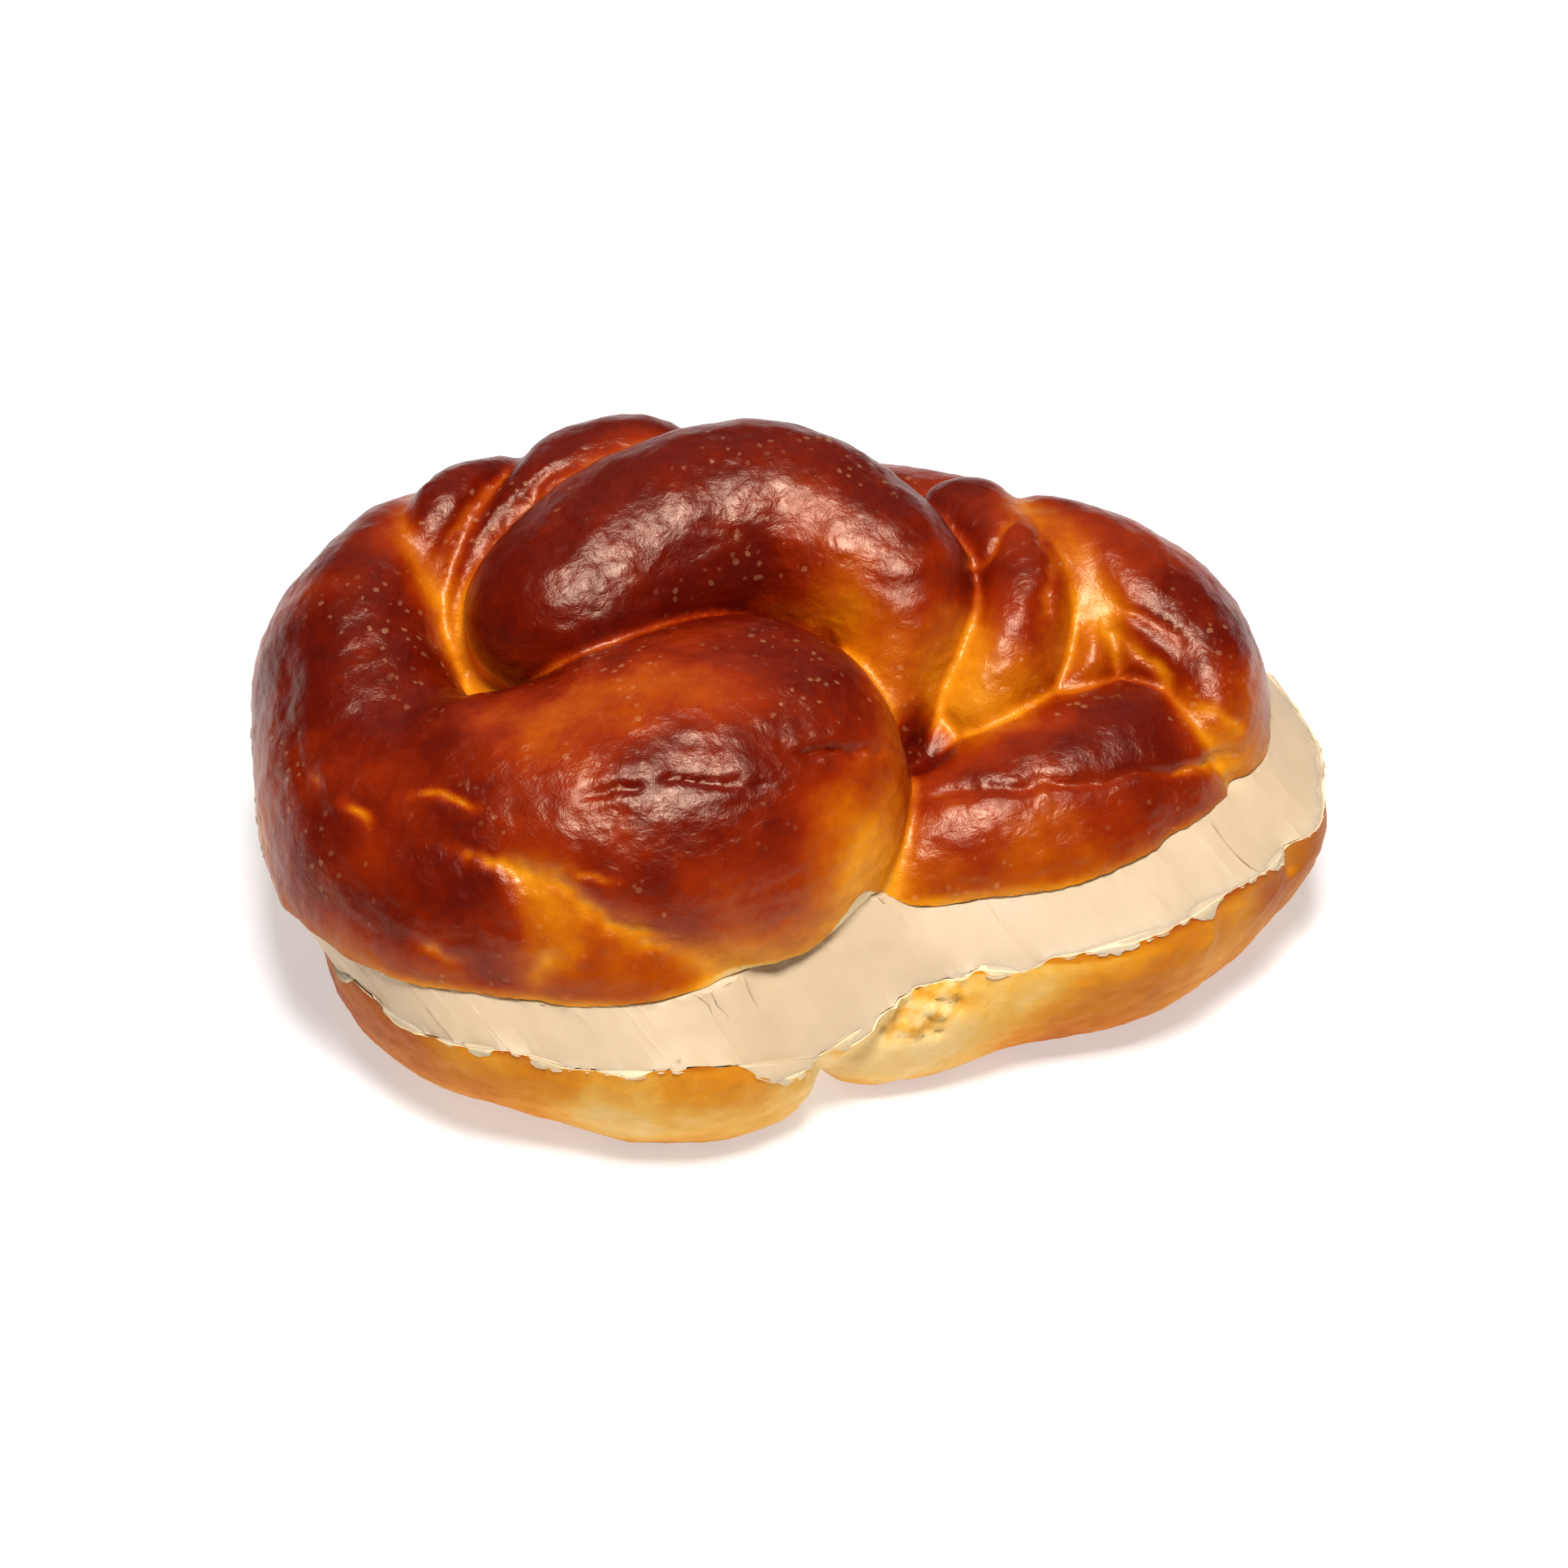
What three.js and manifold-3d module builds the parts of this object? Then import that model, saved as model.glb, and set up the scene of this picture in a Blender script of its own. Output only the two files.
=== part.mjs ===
/**
 * Pretzel roll: a soft knotted roll sliced through and filled with a thick layer of cream.
 *
 * Frame: millimetres, +Z up. The roll stands on its flat base at z = 0, with the origin at the
 * centre of its plan. +X runs along the roll's length and the knot's front lobe faces -Y.
 *
 * The dough is a set of strands that were laid over each other and grew together in the oven.
 * Each strand is a sphere drawn out along a curved path. The strands are joined into one roll,
 * the roll is flattened underneath, and a knife cut parts it into two halves. The upper half
 * sits a little askew on the cream.
 */
import * as THREE from "three";
import { mergeVertices } from "three/addons/utils/BufferGeometryUtils.js";
import Module from "manifold-3d";

// ---------------------------------------------------------------- driving dimensions (mm)
const KNIFE_HEIGHT = 16.6; // height of the cut above the base, at the middle of the roll
const KNIFE_TILT_X = -0.01; // slope of the cut along Y
const KNIFE_TILT_Y = -0.03; // slope of the cut along X
const UPPER_SHIFT = new THREE.Vector3(-6.5, 6, 5); // how far the upper half lies from its lower half
const TOUCH_GAP = 0.3; // left open where the cream meets the bread
const CREAM_INSET = 0.985; // the cream's plan as a share of the cut face's plan
const SECTION_SLICE = 0.2; // thickness of the slice that gives the cream its outline
const END_BLUNTNESS = 2.3; // 2 is a round strand end, more is a blunter one
const STRAND_SIDES = 26; // facets around a strand
const STRAND_RINGS = 20; // rings of facets along a strand
const BLOCK = 400; // edge of the blocks that stand for "everything above" a plane

/**
 * The strands, each a list of stations [x, y, z, half width, half height] along its middle.
 * Stations run from one blunt end to the other.
 */
const STRANDS = {
  left_loop: [
    [-6, 27, 16.5, 10, 14.5], [-20, 25, 18, 11.5, 17], [-31.5, 19, 19.5, 11.5, 18],
    [-39.5, 11.5, 19.5, 12, 19.5], [-44.5, 1, 18.5, 13.5, 20], [-43, -12, 17, 14.5, 19.5],
    [-36, -23, 16.5, 15.5, 18.5],
  ],
  shoulder: [
    [-47, -3, 16.5, 10, 18], [-45.5, -16, 15.5, 12, 18], [-40, -27, 15.5, 13.5, 17.5],
    [-31, -34.5, 15, 14, 16.5], [-19, -38.5, 14.5, 13.5, 16],
  ],
  front_lobe: [
    [-41, -15, 17, 14, 19.5], [-30, -24.5, 17.5, 18, 20.5], [-18, -26.5, 18.5, 23, 21.5],
    [-6, -22.5, 19.5, 25, 22.3], [5, -16.5, 19.5, 23, 21.7], [17, -7.5, 18, 15, 19.5],
  ],
  under_strand: [
    [-33, -33, 15, 12, 17.5], [-22, -38, 15, 12, 18], [-10, -39, 13.5, 12, 16],
    [5, -33.5, 11.5, 9.5, 13.5],
  ],
  arch: [
    [20, -14, 17, 4.5, 9], [19.5, -5.5, 23.5, 6.5, 10], [19.5, 4, 30.5, 11, 12.5],
    [6, 13, 34, 13.5, 14], [-8, 10, 34, 14, 14], [-19, 0.5, 31, 13.5, 13.5],
    [-25.5, -8.5, 27, 12, 12.5],
  ],
  back_strand: [
    [0, 25, 25, 12, 14.5], [-13, 22.5, 25.5, 12.5, 17.5], [-22.5, 17.5, 24.5, 11.5, 17],
    [-30, 10, 22, 9.5, 14.5], [-31.5, -1, 17, 7.5, 12],
  ],
  back_fold: [
    [-18, 24.5, 24, 9, 15], [-28, 20, 23.5, 9.5, 16.5], [-35, 14.5, 24, 8.5, 16.5],
    [-37.5, 6, 18.5, 6, 13],
  ],
  belly: [
    [-24, 18, 14.5, 12, 16.5], [0, 26, 15, 14, 17], [22, 24, 15.5, 14, 17.5], [38, 16, 16, 14, 18],
  ],
  right_loop: [
    [24, 17, 17, 13, 19], [38, 13.5, 17.5, 14, 20], [50, 7, 16.5, 14.5, 18.5], [57, -3, 14.5, 9, 16],
    [56, -14, 11.5, 7.5, 12.5],
  ],
  right_leaf: [
    [0, -33, 6, 8, 8], [12, -29, 9.5, 11, 11.5], [24, -24, 12, 12, 14], [35, -19, 13, 15.5, 15.5],
    [47, -12, 13.5, 15, 15.5], [61, -11, 11, 9, 12],
  ],
  sliver: [
    [34, 18.5, 28.5, 5.5, 10.5], [42, 9, 26.5, 5, 9.5], [43.5, -1, 22, 4.5, 8.5], [38, -9, 16, 4.5, 8],
  ],
  twist: [
    [29, -9, 16.5, 7.5, 9.5], [33, -2, 24, 8, 10], [35.5, 6, 28, 7.5, 10], [32, 14, 28.5, 9, 10],
    [23, 21, 26.5, 10, 11.5],
  ],
  heart: [
    [-38, -2, 13, 16, 15], [-12, 0, 14, 24, 16], [18, -4, 13, 20, 14], [44, 0, 12, 14, 14],
  ],
};

// ---------------------------------------------------------------- finishes
const crustBrown = new THREE.MeshStandardMaterial({ color: 0x8a3c12, roughness: 0.32, metalness: 0 });
const crustGolden = new THREE.MeshStandardMaterial({ color: 0xd9964a, roughness: 0.5, metalness: 0 });
const creamWhite = new THREE.MeshStandardMaterial({ color: 0xf3e2c6, roughness: 0.6, metalness: 0 });

// ---------------------------------------------------------------- solids
const wasm = await Module();
wasm.setup();

/** Turns a closed geometry into a solid that can be joined and cut. */
function toSolid(geometry) {
  const bare = geometry.clone();
  bare.deleteAttribute("normal");
  bare.deleteAttribute("uv");
  const merged = mergeVertices(bare, 1e-4);
  const mesh = new wasm.Mesh({
    numProp: 3,
    vertProperties: new Float32Array(merged.attributes.position.array),
    triVerts: new Uint32Array(merged.index.array),
  });
  return new wasm.Manifold(mesh);
}

/** Turns a solid back into a geometry. */
function toGeometry(solid) {
  const mesh = solid.getMesh();
  const geometry = new THREE.BufferGeometry();
  geometry.setAttribute("position", new THREE.BufferAttribute(new Float32Array(mesh.vertProperties), 3));
  geometry.setIndex(new THREE.BufferAttribute(new Uint32Array(mesh.triVerts), 1));
  geometry.computeVertexNormals();
  return geometry;
}

/** How full the strand is at a distance from its end: 0 at the tip, 1 past the rounded cap. */
function capFullness(distance, capLength) {
  const inward = Math.max(0, 1 - distance / capLength);
  return Math.pow(1 - Math.pow(inward, END_BLUNTNESS), 1 / END_BLUNTNESS);
}

/** Makes one strand of dough: a sphere drawn out along the path through the stations. */
function strandGeometry(stations) {
  const path = new THREE.CatmullRomCurve3(
    stations.map(([x, y, z]) => new THREE.Vector3(x, y, z)), false, "catmullrom", 0.5);
  const girth = new THREE.CatmullRomCurve3(
    stations.map(([, , , width, height]) => new THREE.Vector3(width, height, 0)), false, "catmullrom", 0.5);
  const length = path.getLength();
  const startCap = Math.min(girth.getPoint(0).x, length / 2);
  const endCap = Math.min(girth.getPoint(1).x, length / 2);
  const up = new THREE.Vector3(0, 0, 1);

  const geometry = new THREE.SphereGeometry(1, STRAND_SIDES, STRAND_RINGS);
  const position = geometry.attributes.position;
  for (let i = 0; i < position.count; i += 1) {
    const polar = Math.acos(THREE.MathUtils.clamp(-position.getY(i), -1, 1)) / Math.PI;
    const share = polar - 0.11 * Math.sin(2 * Math.PI * polar); // rings gather towards the ends
    const t = path.getUtoTmapping(share);
    const middle = path.getPoint(t);
    const along = path.getTangent(t);
    const side = new THREE.Vector3().crossVectors(along, up).normalize();
    const above = new THREE.Vector3().crossVectors(side, along);
    const { x: halfWidth, y: halfHeight } = girth.getPoint(t);
    const full = capFullness(share * length, startCap) * capFullness((1 - share) * length, endCap);
    const ring = Math.hypot(position.getX(i), position.getZ(i)) || 1;
    middle.addScaledVector(side, (halfWidth * full * position.getX(i)) / ring);
    middle.addScaledVector(above, (halfHeight * full * position.getZ(i)) / ring);
    position.setXYZ(i, middle.x, middle.y, middle.z);
  }
  return geometry;
}

/** A large block whose lower face lies on z = 0. */
function blockAbove() {
  return new THREE.BoxGeometry(BLOCK, BLOCK, BLOCK).translate(0, 0, BLOCK / 2);
}

/** The whole roll as it left the oven: all strands in one, flat underneath. */
function bakedRoll() {
  const dough = Object.values(STRANDS)
    .map((stations) => toSolid(strandGeometry(stations)))
    .reduce((joined, strand) => joined.add(strand));
  return dough.intersect(toSolid(blockAbove()));
}

/** The matrix that takes the plane z = 0 to the knife's plane. */
function knifePlane() {
  return new THREE.Matrix4()
    .makeRotationFromEuler(new THREE.Euler(KNIFE_TILT_X, KNIFE_TILT_Y, 0))
    .setPosition(0, 0, KNIFE_HEIGHT);
}

/**
 * The cream: a thin slice of the roll at the knife's plane gives the outline, which is drawn
 * out from the lower half's cut face to the upper half's, so that it leans as the roll does.
 */
function creamGeometry(roll) {
  const slice = new THREE.BoxGeometry(BLOCK, BLOCK, SECTION_SLICE).applyMatrix4(knifePlane());
  const outline = toGeometry(roll.intersect(toSolid(slice)));
  const thickness = UPPER_SHIFT.z - 2 * TOUCH_GAP;
  const drawOut = new THREE.Matrix4().set(
    CREAM_INSET, 0, UPPER_SHIFT.x / SECTION_SLICE, UPPER_SHIFT.x / 2,
    0, CREAM_INSET, UPPER_SHIFT.y / SECTION_SLICE, UPPER_SHIFT.y / 2,
    0, 0, thickness / SECTION_SLICE, thickness / 2 + TOUCH_GAP,
    0, 0, 0, 1,
  );
  return outline
    .applyMatrix4(knifePlane().invert())
    .applyMatrix4(drawOut)
    .applyMatrix4(knifePlane());
}

// ---------------------------------------------------------------- the assembly
const roll = bakedRoll();
const aboveKnife = toSolid(blockAbove().applyMatrix4(knifePlane()));

const lowerHalf = new THREE.Mesh(toGeometry(roll.subtract(aboveKnife)), crustGolden);
lowerHalf.name = "lower_half";

const creamFilling = new THREE.Mesh(creamGeometry(roll), creamWhite);
creamFilling.name = "cream_filling";

const upperHalf = new THREE.Mesh(toGeometry(roll.intersect(aboveKnife)), crustBrown);
upperHalf.name = "upper_half";
upperHalf.position.copy(UPPER_SHIFT);

const stack = new THREE.Group();
stack.add(lowerHalf, creamFilling, upperHalf);

const extent = new THREE.Box3().setFromObject(stack);
const middle = extent.getCenter(new THREE.Vector3());
stack.position.set(-middle.x, -middle.y, -extent.min.z);

const pretzelRoll = new THREE.Group();
pretzelRoll.add(stack);

export default pretzelRoll;
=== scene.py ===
"""The looks of a filled pretzel roll: glossy knotted crust above, pale crust below, cream between.

The dough's strands are drawn out along their paths, grown together into one roll and then
sculpted: creases are pressed in, the skin is wrinkled and blistered, and a knife parts the roll.
The cream is drawn out between the two cut faces. The dough's and the pieces' lengths are
millimetres in the roll's own frame, and MM turns them into the scene's metres. The studio's
lengths are metres in the scene.
"""

from __future__ import annotations

import logging
import math
from dataclasses import dataclass, field
from enum import Enum

import bmesh
import bpy
import numpy as np
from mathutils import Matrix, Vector, noise
from mathutils.bvhtree import BVHTree

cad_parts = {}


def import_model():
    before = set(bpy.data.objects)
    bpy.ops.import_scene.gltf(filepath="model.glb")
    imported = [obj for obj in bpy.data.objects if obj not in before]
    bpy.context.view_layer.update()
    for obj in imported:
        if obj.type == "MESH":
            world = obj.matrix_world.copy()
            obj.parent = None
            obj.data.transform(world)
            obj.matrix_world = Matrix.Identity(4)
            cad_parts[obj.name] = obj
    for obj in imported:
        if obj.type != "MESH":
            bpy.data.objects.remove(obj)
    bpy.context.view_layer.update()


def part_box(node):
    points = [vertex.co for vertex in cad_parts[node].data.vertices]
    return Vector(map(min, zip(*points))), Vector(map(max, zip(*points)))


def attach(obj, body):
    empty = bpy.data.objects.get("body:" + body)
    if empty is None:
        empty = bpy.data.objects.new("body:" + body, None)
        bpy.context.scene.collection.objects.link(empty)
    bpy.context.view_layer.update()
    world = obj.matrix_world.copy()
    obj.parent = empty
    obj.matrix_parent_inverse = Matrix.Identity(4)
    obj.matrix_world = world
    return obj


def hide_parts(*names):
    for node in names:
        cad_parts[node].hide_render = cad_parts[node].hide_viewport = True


LOG = logging.getLogger("pretzel_roll")
MM = 0.001
Points = np.ndarray
Colour = tuple[float, float, float]
Socket = bpy.types.NodeSocket


def smooth_step(low: float, high: float, values: Points) -> Points:
    """Eases values from 0 at low to 1 at high.

    Args:
        low: The value that gives 0.
        high: The value that gives 1.
        values: The values to ease.

    Returns:
        The eased values, between 0 and 1.
    """
    share = np.clip((values - low) / (high - low), 0.0, 1.0)
    return share * share * (3.0 - 2.0 * share)


def grain(points: Points, size: float, seed: float, octaves: int = 2) -> Points:
    """Reads smooth noise at points.

    Args:
        points: Places in millimetres, one row each.
        size: The size of the noise's lumps in millimetres.
        seed: Moves the noise, so that two readings differ.
        octaves: How many finer layers are added.

    Returns:
        One value for each point, about -1 to 1.
    """
    offset = Vector((seed * 17.3, seed * -9.1, seed * 5.7))
    values = [noise.fractal(Vector(p) / size + offset, 1.0, 2.0, octaves) for p in points]
    return np.array(values)


# ------------------------------------------------------------------------------- mesh helpers
def read_points(mesh: bpy.types.Mesh) -> Points:
    """Returns a mesh's vertex places in millimetres, one row each."""
    flat = np.empty(len(mesh.vertices) * 3)
    mesh.vertices.foreach_get("co", flat)
    return flat.reshape(-1, 3) / MM


def read_normals(mesh: bpy.types.Mesh) -> Points:
    """Returns a mesh's vertex normals, one row each."""
    flat = np.empty(len(mesh.vertices) * 3)
    mesh.vertex_normals.foreach_get("vector", flat)
    return flat.reshape(-1, 3)


def write_points(mesh: bpy.types.Mesh, points: Points) -> None:
    """Puts a mesh's vertices at places given in millimetres."""
    mesh.vertices.foreach_set("co", (points * MM).ravel())
    mesh.update()


def write_layer(mesh: bpy.types.Mesh, name: str, values: Points) -> None:
    """Stores one number per vertex under a name that materials can read."""
    layer = mesh.attributes.get(name) or mesh.attributes.new(name, "FLOAT", "POINT")
    layer.data.foreach_set("value", values.astype(np.float32))


def as_object(name: str, mesh: bpy.types.Mesh) -> bpy.types.Object:
    """Puts a mesh in the scene at the origin."""
    piece = bpy.data.objects.new(name, mesh)
    bpy.context.scene.collection.objects.link(piece)
    return piece


def grown_together(shape: bmesh.types.BMesh, grid: float, rounds: int) -> bpy.types.Mesh:
    """Joins overlapping closed shells into one skin.

    Args:
        shape: The shells. The bmesh is freed.
        grid: The spacing of the new skin's faces in millimetres.
        rounds: How often the new skin is smoothed.

    Returns:
        A mesh with one closed skin.
    """
    mesh = bpy.data.meshes.new("skin")
    shape.to_mesh(mesh)
    shape.free()
    holder = as_object("skin", mesh)
    remesh = holder.modifiers.new("grow", "REMESH")
    remesh.mode = "VOXEL"
    remesh.voxel_size = grid * MM
    smooth = holder.modifiers.new("smooth", "SMOOTH")
    smooth.factor = 0.5
    smooth.iterations = rounds
    depsgraph = bpy.context.evaluated_depsgraph_get()
    skin = bpy.data.meshes.new_from_object(holder.evaluated_get(depsgraph))
    bpy.data.objects.remove(holder)
    bpy.data.meshes.remove(mesh)
    return skin


def relaxed(
        mesh: bpy.types.Mesh, points: Points, share: Points, rounds: int, longest: float = 9.0) -> Points:
    """Smooths part of a skin, as dough that runs together does.

    Args:
        mesh: The skin, for its edges.
        points: Its vertex places in millimetres.
        share: How much each vertex joins in, 0 to 1.
        rounds: How often each vertex moves to the middle of its neighbours.
        longest: Longer edges, in millimetres, join no neighbours.

    Returns:
        The smoothed places.
    """
    ends = np.empty(len(mesh.edges) * 2, dtype=np.int64)
    mesh.edges.foreach_get("vertices", ends)
    starts, stops = ends.reshape(-1, 2).T
    near = np.linalg.norm(points[starts] - points[stops], axis=1) < longest
    starts, stops = starts[near], stops[near]
    count = np.maximum(np.bincount(np.concatenate([starts, stops]), minlength=len(points)), 1.0)
    for _ in range(rounds):
        total = np.empty_like(points)
        for axis in range(3):
            total[:, axis] = np.bincount(starts, points[stops, axis], len(points))
            total[:, axis] += np.bincount(stops, points[starts, axis], len(points))
        points = points + (total - points * count[:, None]) / count[:, None] * share[:, None]
    return points


# ------------------------------------------------------------------------------- the dough
@dataclass(frozen=True)
class Strand:
    """One strand of dough, drawn out along a path.

    Attributes:
        name: What a baker would call it; not used.
        stations: Places along its middle, each x, y, z, half width and half height.
        tone: How much browner (above 0) or paler (below 0) it baked than the roll as a whole.
        reach: How far the pale dough runs out of the crease beside it.
        kin: Words that it shares with strands it runs into with no crease between them.
    """

    name: str
    stations: tuple[tuple[float, float, float, float, float], ...]
    tone: float = 0.0
    reach: float = 2.5
    kin: tuple[str, ...] = ()

    END_BLUNTNESS = 2.3
    SIDES = 56
    RINGS = 44
    TABLE = 240
    FAR = 10.0

    def drawn(self, shares: Points) -> Points:
        """Reads the smooth curve through the stations.

        Args:
            shares: Where along the stations, 0 to 1.

        Returns:
            One row of x, y, z, half width, half height for each share.
        """
        rows = np.array(self.stations)
        before, after = 2 * rows[0] - rows[1], 2 * rows[-1] - rows[-2]
        padded = np.vstack([before, rows, after])
        place = np.clip(shares, 0, 1) * (len(rows) - 1)
        index = np.clip(place.astype(int), 0, len(rows) - 2)
        f = (place - index)[:, None]
        p0, p1, p2, p3 = (padded[index + k] for k in range(4))
        bend = 2 * p0 - 5 * p1 + 4 * p2 - p3
        twist = 3 * p1 - p0 - 3 * p2 + p3
        return 0.5 * (2 * p1 + (p2 - p0) * f + bend * f**2 + twist * f**3)

    def cuts(self, lengths: Points) -> tuple[Points, Points, Points, Points, Points]:
        """Works out the strand's cross-sections.

        Args:
            lengths: Where along the strand's length, 0 to 1.

        Returns:
            The middles, sideways directions, upward directions, half widths and half heights.
        """
        table = np.linspace(0, 1, self.TABLE)
        walk = self.drawn(table)[:, :3]
        steps = np.linalg.norm(np.diff(walk, axis=0), axis=1)
        run = np.concatenate([[0], np.cumsum(steps)])
        shares = np.interp(lengths * run[-1], run, table)
        rows = self.drawn(shares)
        nudge = 1e-3
        along = self.drawn(np.clip(shares + nudge, 0, 1)) - self.drawn(np.clip(shares - nudge, 0, 1))
        along = along[:, :3] / np.linalg.norm(along[:, :3], axis=1)[:, None]
        side = np.cross(along, (0, 0, 1))
        side /= np.linalg.norm(side, axis=1)[:, None]
        above = np.cross(side, along)
        caps = [min(self.stations[end][3], run[-1] / 2) for end in (0, -1)]
        fullness = np.ones(len(lengths))
        for cap, gone in zip(caps, (lengths, 1 - lengths)):
            inward = np.clip(1 - gone * run[-1] / cap, 0, 1)
            fullness *= (1 - inward**self.END_BLUNTNESS) ** (1 / self.END_BLUNTNESS)
        return rows[:, :3], side, above, rows[:, 3] * fullness, rows[:, 4] * fullness

    def lay_in(self, shape: bmesh.types.BMesh) -> None:
        """Adds the strand's closed shell, in metres, to a bmesh."""
        made = bmesh.ops.create_uvsphere(shape, u_segments=self.SIDES, v_segments=self.RINGS, radius=1.0)
        ball = np.array([vert.co for vert in made["verts"]])
        polar = np.arccos(np.clip(-ball[:, 2], -1, 1)) / math.pi
        middles, side, above, wide, high = self.cuts(polar - 0.11 * np.sin(2 * math.pi * polar))
        ring = np.maximum(np.hypot(ball[:, 0], ball[:, 1]), 1e-6)
        places = middles - side * (wide * ball[:, 0] / ring)[:, None]
        places += above * (high * ball[:, 1] / ring)[:, None]
        for vert, place in zip(made["verts"], places):
            vert.co = Vector(place) * MM

    def nearness(self, points: Points) -> Points:
        """Says how far points lie from the strand's skin.

        Args:
            points: Places in millimetres.

        Returns:
            The distance to the skin in millimetres, no more than FAR.
        """
        shape = bmesh.new()
        self.lay_in(shape)
        tree = BVHTree.FromBMesh(shape)
        own = np.array([vert.co for vert in shape.verts]) / MM
        shape.free()
        gaps = np.full(len(points), self.FAR)
        low, high = own.min(axis=0) - self.FAR, own.max(axis=0) + self.FAR
        for index in np.nonzero(((points > low) & (points < high)).all(axis=1))[0]:
            gap = tree.find_nearest(points[index] * MM, self.FAR * MM)[3]
            if gap is not None:
                gaps[index] = gap / MM
        return gaps


@dataclass(frozen=True)
class Mark:
    """A line in the skin: a wrinkle, or a crack where the skin split.

    Attributes:
        line: Places on the skin that the line runs through.
        width: Half the width of the groove.
        depth: How deep it is pressed.
        gold: How much pale dough shows in it, 0 to 1.
    """

    line: tuple[tuple[float, float, float], ...]
    width: float
    depth: float
    gold: float

    def laid_on(self, tree: BVHTree, step: float = 1.5) -> Points:
        """Lays the line on a skin.

        Args:
            tree: The skin.
            step: How far apart the laid places are, in millimetres.

        Returns:
            Places along the line, one row each, in millimetres.
        """
        rows = np.array(self.line)
        run = np.concatenate([[0], np.cumsum(np.linalg.norm(np.diff(rows, axis=0), axis=1))])
        walk = np.linspace(0, run[-1], max(2, round(run[-1] / step)))
        places = np.stack([np.interp(walk, run, rows[:, axis]) for axis in range(3)], axis=1)
        return np.array([tree.find_nearest(Vector(place) * MM)[0] for place in places]) / MM

    def closeness(self, points: Points, path: Points) -> Points:
        """Says how near points are to the line: 1 on it, falling to 0.

        Args:
            points: Places in millimetres.
            path: The line as it lies on the skin.

        Returns:
            One value for each point.
        """
        near = np.zeros(len(points))
        low, high = path.min(axis=0) - 4 * self.width, path.max(axis=0) + 4 * self.width
        inside = np.nonzero(((points > low) & (points < high)).all(axis=1))[0]
        best = np.full(len(inside), 1e9)
        for start, end in zip(path, path[1:]):
            run = end - start
            share = np.clip(((points[inside] - start) @ run) / max(run @ run, 1e-9), 0, 1)
            best = np.minimum(best, np.linalg.norm(points[inside] - start - share[:, None] * run, axis=1))
        fade = np.min([np.linalg.norm(points[inside] - end, axis=1) for end in (path[0], path[-1])], axis=0)
        near[inside] = np.exp(-((best / self.width) ** 2)) * smooth_step(0, 4 * self.width, fade + self.width)
        return near


@dataclass(frozen=True)
class TornEdge:
    """How the crust's edge strays from the knife's line.

    Attributes:
        tabs: The height of the broad torn steps.
        fray: The height of the fine fraying.
        dips: Places where the edge hangs low, each x, y, size and depth; below 0 it stands high.
    """

    tabs: float
    fray: float
    dips: tuple[tuple[float, float, float, float], ...] = ()

    def stray(self, points: Points) -> Points:
        """Returns how far the knife's line is moved down at each point's place on the plan."""
        plan = points * (1.0, 1.0, 0.0)
        steps = np.tanh(7.0 * (grain(plan, 8.0, 11.0) - 0.12))
        moved = -self.tabs * steps - self.fray * grain(plan, 1.5, 12.0, 2)
        for x, y, size, depth in self.dips:
            moved += depth * np.exp(-(np.linalg.norm(plan - (x, y, 0.0), axis=1) / size) ** 2)
        return moved


@dataclass
class Knife:
    """The cut through the roll, and how far the upper half slid on the cream."""

    height: float = 16.6
    slope_x: float = 0.03
    slope_y: float = -0.01
    slide: tuple[float, float, float] = (-6.5, 6.0, 5.0)
    lower_edge: TornEdge = TornEdge(0.75, 0.30, ((4.5, -45.0, 8.0, 7.0),))
    upper_edge: TornEdge = TornEdge(0.12, 0.15, ((15.5, -38.0, 4.5, -5.0),))

    def level(self, points: Points) -> Points:
        """Returns the cut's height above or below each point's place on the plan."""
        return self.height + self.slope_x * points[:, 0] + self.slope_y * points[:, 1]

    def normal(self) -> Vector:
        """Returns the cut's upward direction."""
        return Vector((-self.slope_x, -self.slope_y, 1.0)).normalized()


@dataclass(frozen=True)
class Seams:
    """How the strands meet at each point of the skin.

    Attributes:
        apart: How much farther the next strand's skin lies than the nearest one's.
        merged: How fully the strands there ran into each other, 0 to 1.
        crease: The distance to the crease, which is apart made larger where no crease shows.
        tone: How much browner the dough there bakes than the roll.
        reach: How far the pale dough runs out of the crease there.
    """

    apart: Points
    merged: Points
    crease: Points
    tone: Points
    reach: Points


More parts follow.
